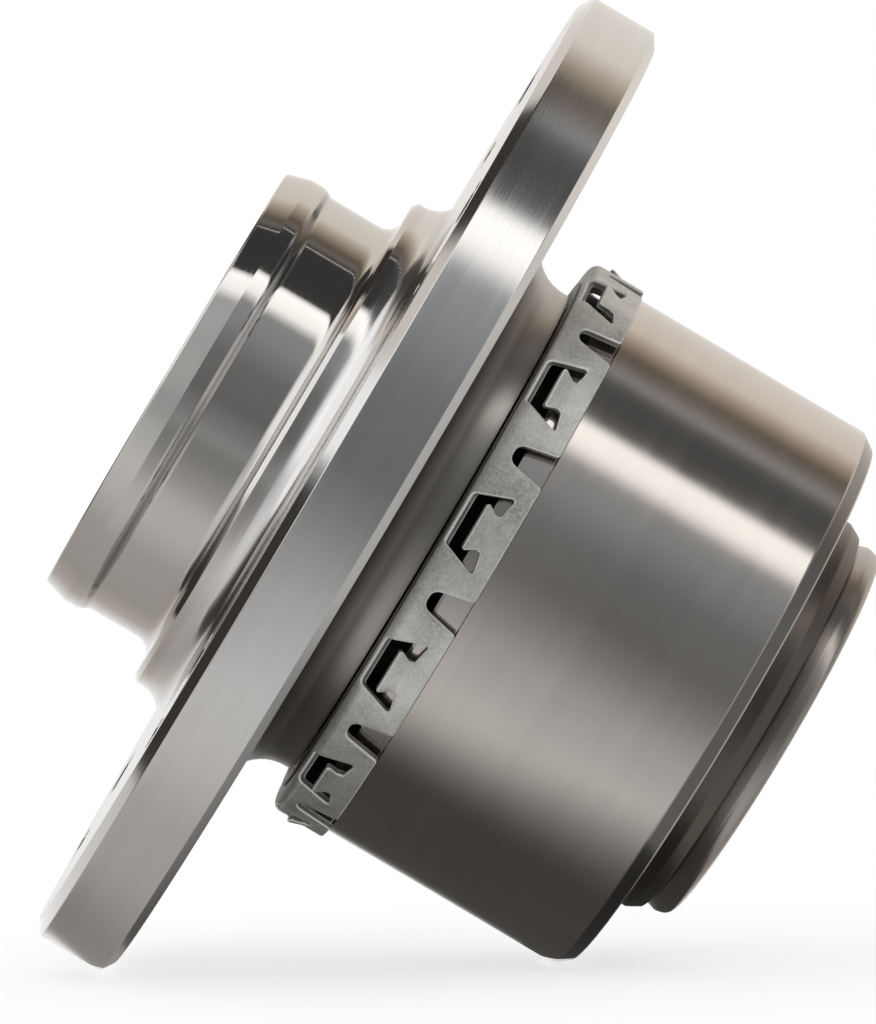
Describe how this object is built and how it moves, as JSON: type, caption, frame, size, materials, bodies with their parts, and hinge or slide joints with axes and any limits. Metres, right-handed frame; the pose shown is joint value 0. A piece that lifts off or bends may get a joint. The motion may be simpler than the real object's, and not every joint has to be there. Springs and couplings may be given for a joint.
{
  "type": "wheel hub bearing",
  "caption": "Flanged splined wheel hub turning in a sealed double row ball bearing with a barbed retaining clip round its outer ring.",
  "frame": {"origin": "on the bearing axis, in the plane of the flange's wheel face", "axes": "+Z along the bearing axis, outboard towards the wheel pilot's nose; +X and +Y radial, with one wheel bolt hole on +Y"},
  "size_m": [0.127, 0.127, 0.0825],
  "materials": {
    "hub_steel": "turned, fine tool lines",
    "outer_ring_steel": "ground satin",
    "inner_ring_steel": "ground satin",
    "clip_sheet": "matte zinc and phosphate over spring sheet",
    "ball_steel": "polished",
    "cage_polymer": "moulded glass-filled polyamide",
    "seal_sheet": "pressed sheet",
    "seal_rubber": "moulded nitrile",
    "encoder_rubber": "ferrite-filled, ground face"
  },
  "bodies": {
    "knuckle_side": {"outer_ring": "outer_ring_steel", "retaining_clip": "clip_sheet", "seal_case_outboard": "seal_sheet", "seal_lip_outboard": "seal_rubber", "seal_case_inboard": "seal_sheet", "seal_lip_inboard": "seal_rubber"},
    "hub_side": {"hub": "hub_steel", "inner_ring_outboard": "inner_ring_steel", "inner_ring_inboard": "inner_ring_steel", "slinger_outboard": "seal_sheet", "slinger_inboard": "seal_sheet", "encoder_ring": "encoder_rubber"},
    "ball_row_outboard": {"cage_outboard": "cage_polymer", "ball_outboard_1": "ball_steel", "ball_outboard_2": "ball_steel", "ball_outboard_3": "ball_steel", "ball_outboard_4": "ball_steel", "ball_outboard_5": "ball_steel", "ball_outboard_6": "ball_steel", "ball_outboard_7": "ball_steel", "ball_outboard_8": "ball_steel", "ball_outboard_9": "ball_steel", "ball_outboard_10": "ball_steel", "ball_outboard_11": "ball_steel", "ball_outboard_12": "ball_steel", "ball_outboard_13": "ball_steel", "ball_outboard_14": "ball_steel", "ball_outboard_15": "ball_steel"},
    "ball_row_inboard": {"cage_inboard": "cage_polymer", "ball_inboard_1": "ball_steel", "ball_inboard_2": "ball_steel", "ball_inboard_3": "ball_steel", "ball_inboard_4": "ball_steel", "ball_inboard_5": "ball_steel", "ball_inboard_6": "ball_steel", "ball_inboard_7": "ball_steel", "ball_inboard_8": "ball_steel", "ball_inboard_9": "ball_steel", "ball_inboard_10": "ball_steel", "ball_inboard_11": "ball_steel", "ball_inboard_12": "ball_steel", "ball_inboard_13": "ball_steel", "ball_inboard_14": "ball_steel", "ball_inboard_15": "ball_steel"}
  },
  "joints": [
    {"name": "hub_spin", "type": "hinge", "parent": "knuckle_side", "child": "hub_side", "pos_m": [0, 0, -0.0362], "axis": [0, 0, 1], "continuous": true},
    {"name": "outboard_row_turn", "type": "hinge", "parent": "knuckle_side", "child": "ball_row_outboard", "pos_m": [0, 0, -0.02734], "axis": [0, 0, 1], "continuous": true},
    {"name": "inboard_row_turn", "type": "hinge", "parent": "knuckle_side", "child": "ball_row_inboard", "pos_m": [0, 0, -0.04506], "axis": [0, 0, 1], "continuous": true}
  ],
  "couplings": [
    {"joint": "outboard_row_turn", "follows": "hub_spin", "ratio": 0.431},
    {"joint": "inboard_row_turn", "follows": "hub_spin", "ratio": 0.431}
  ]
}
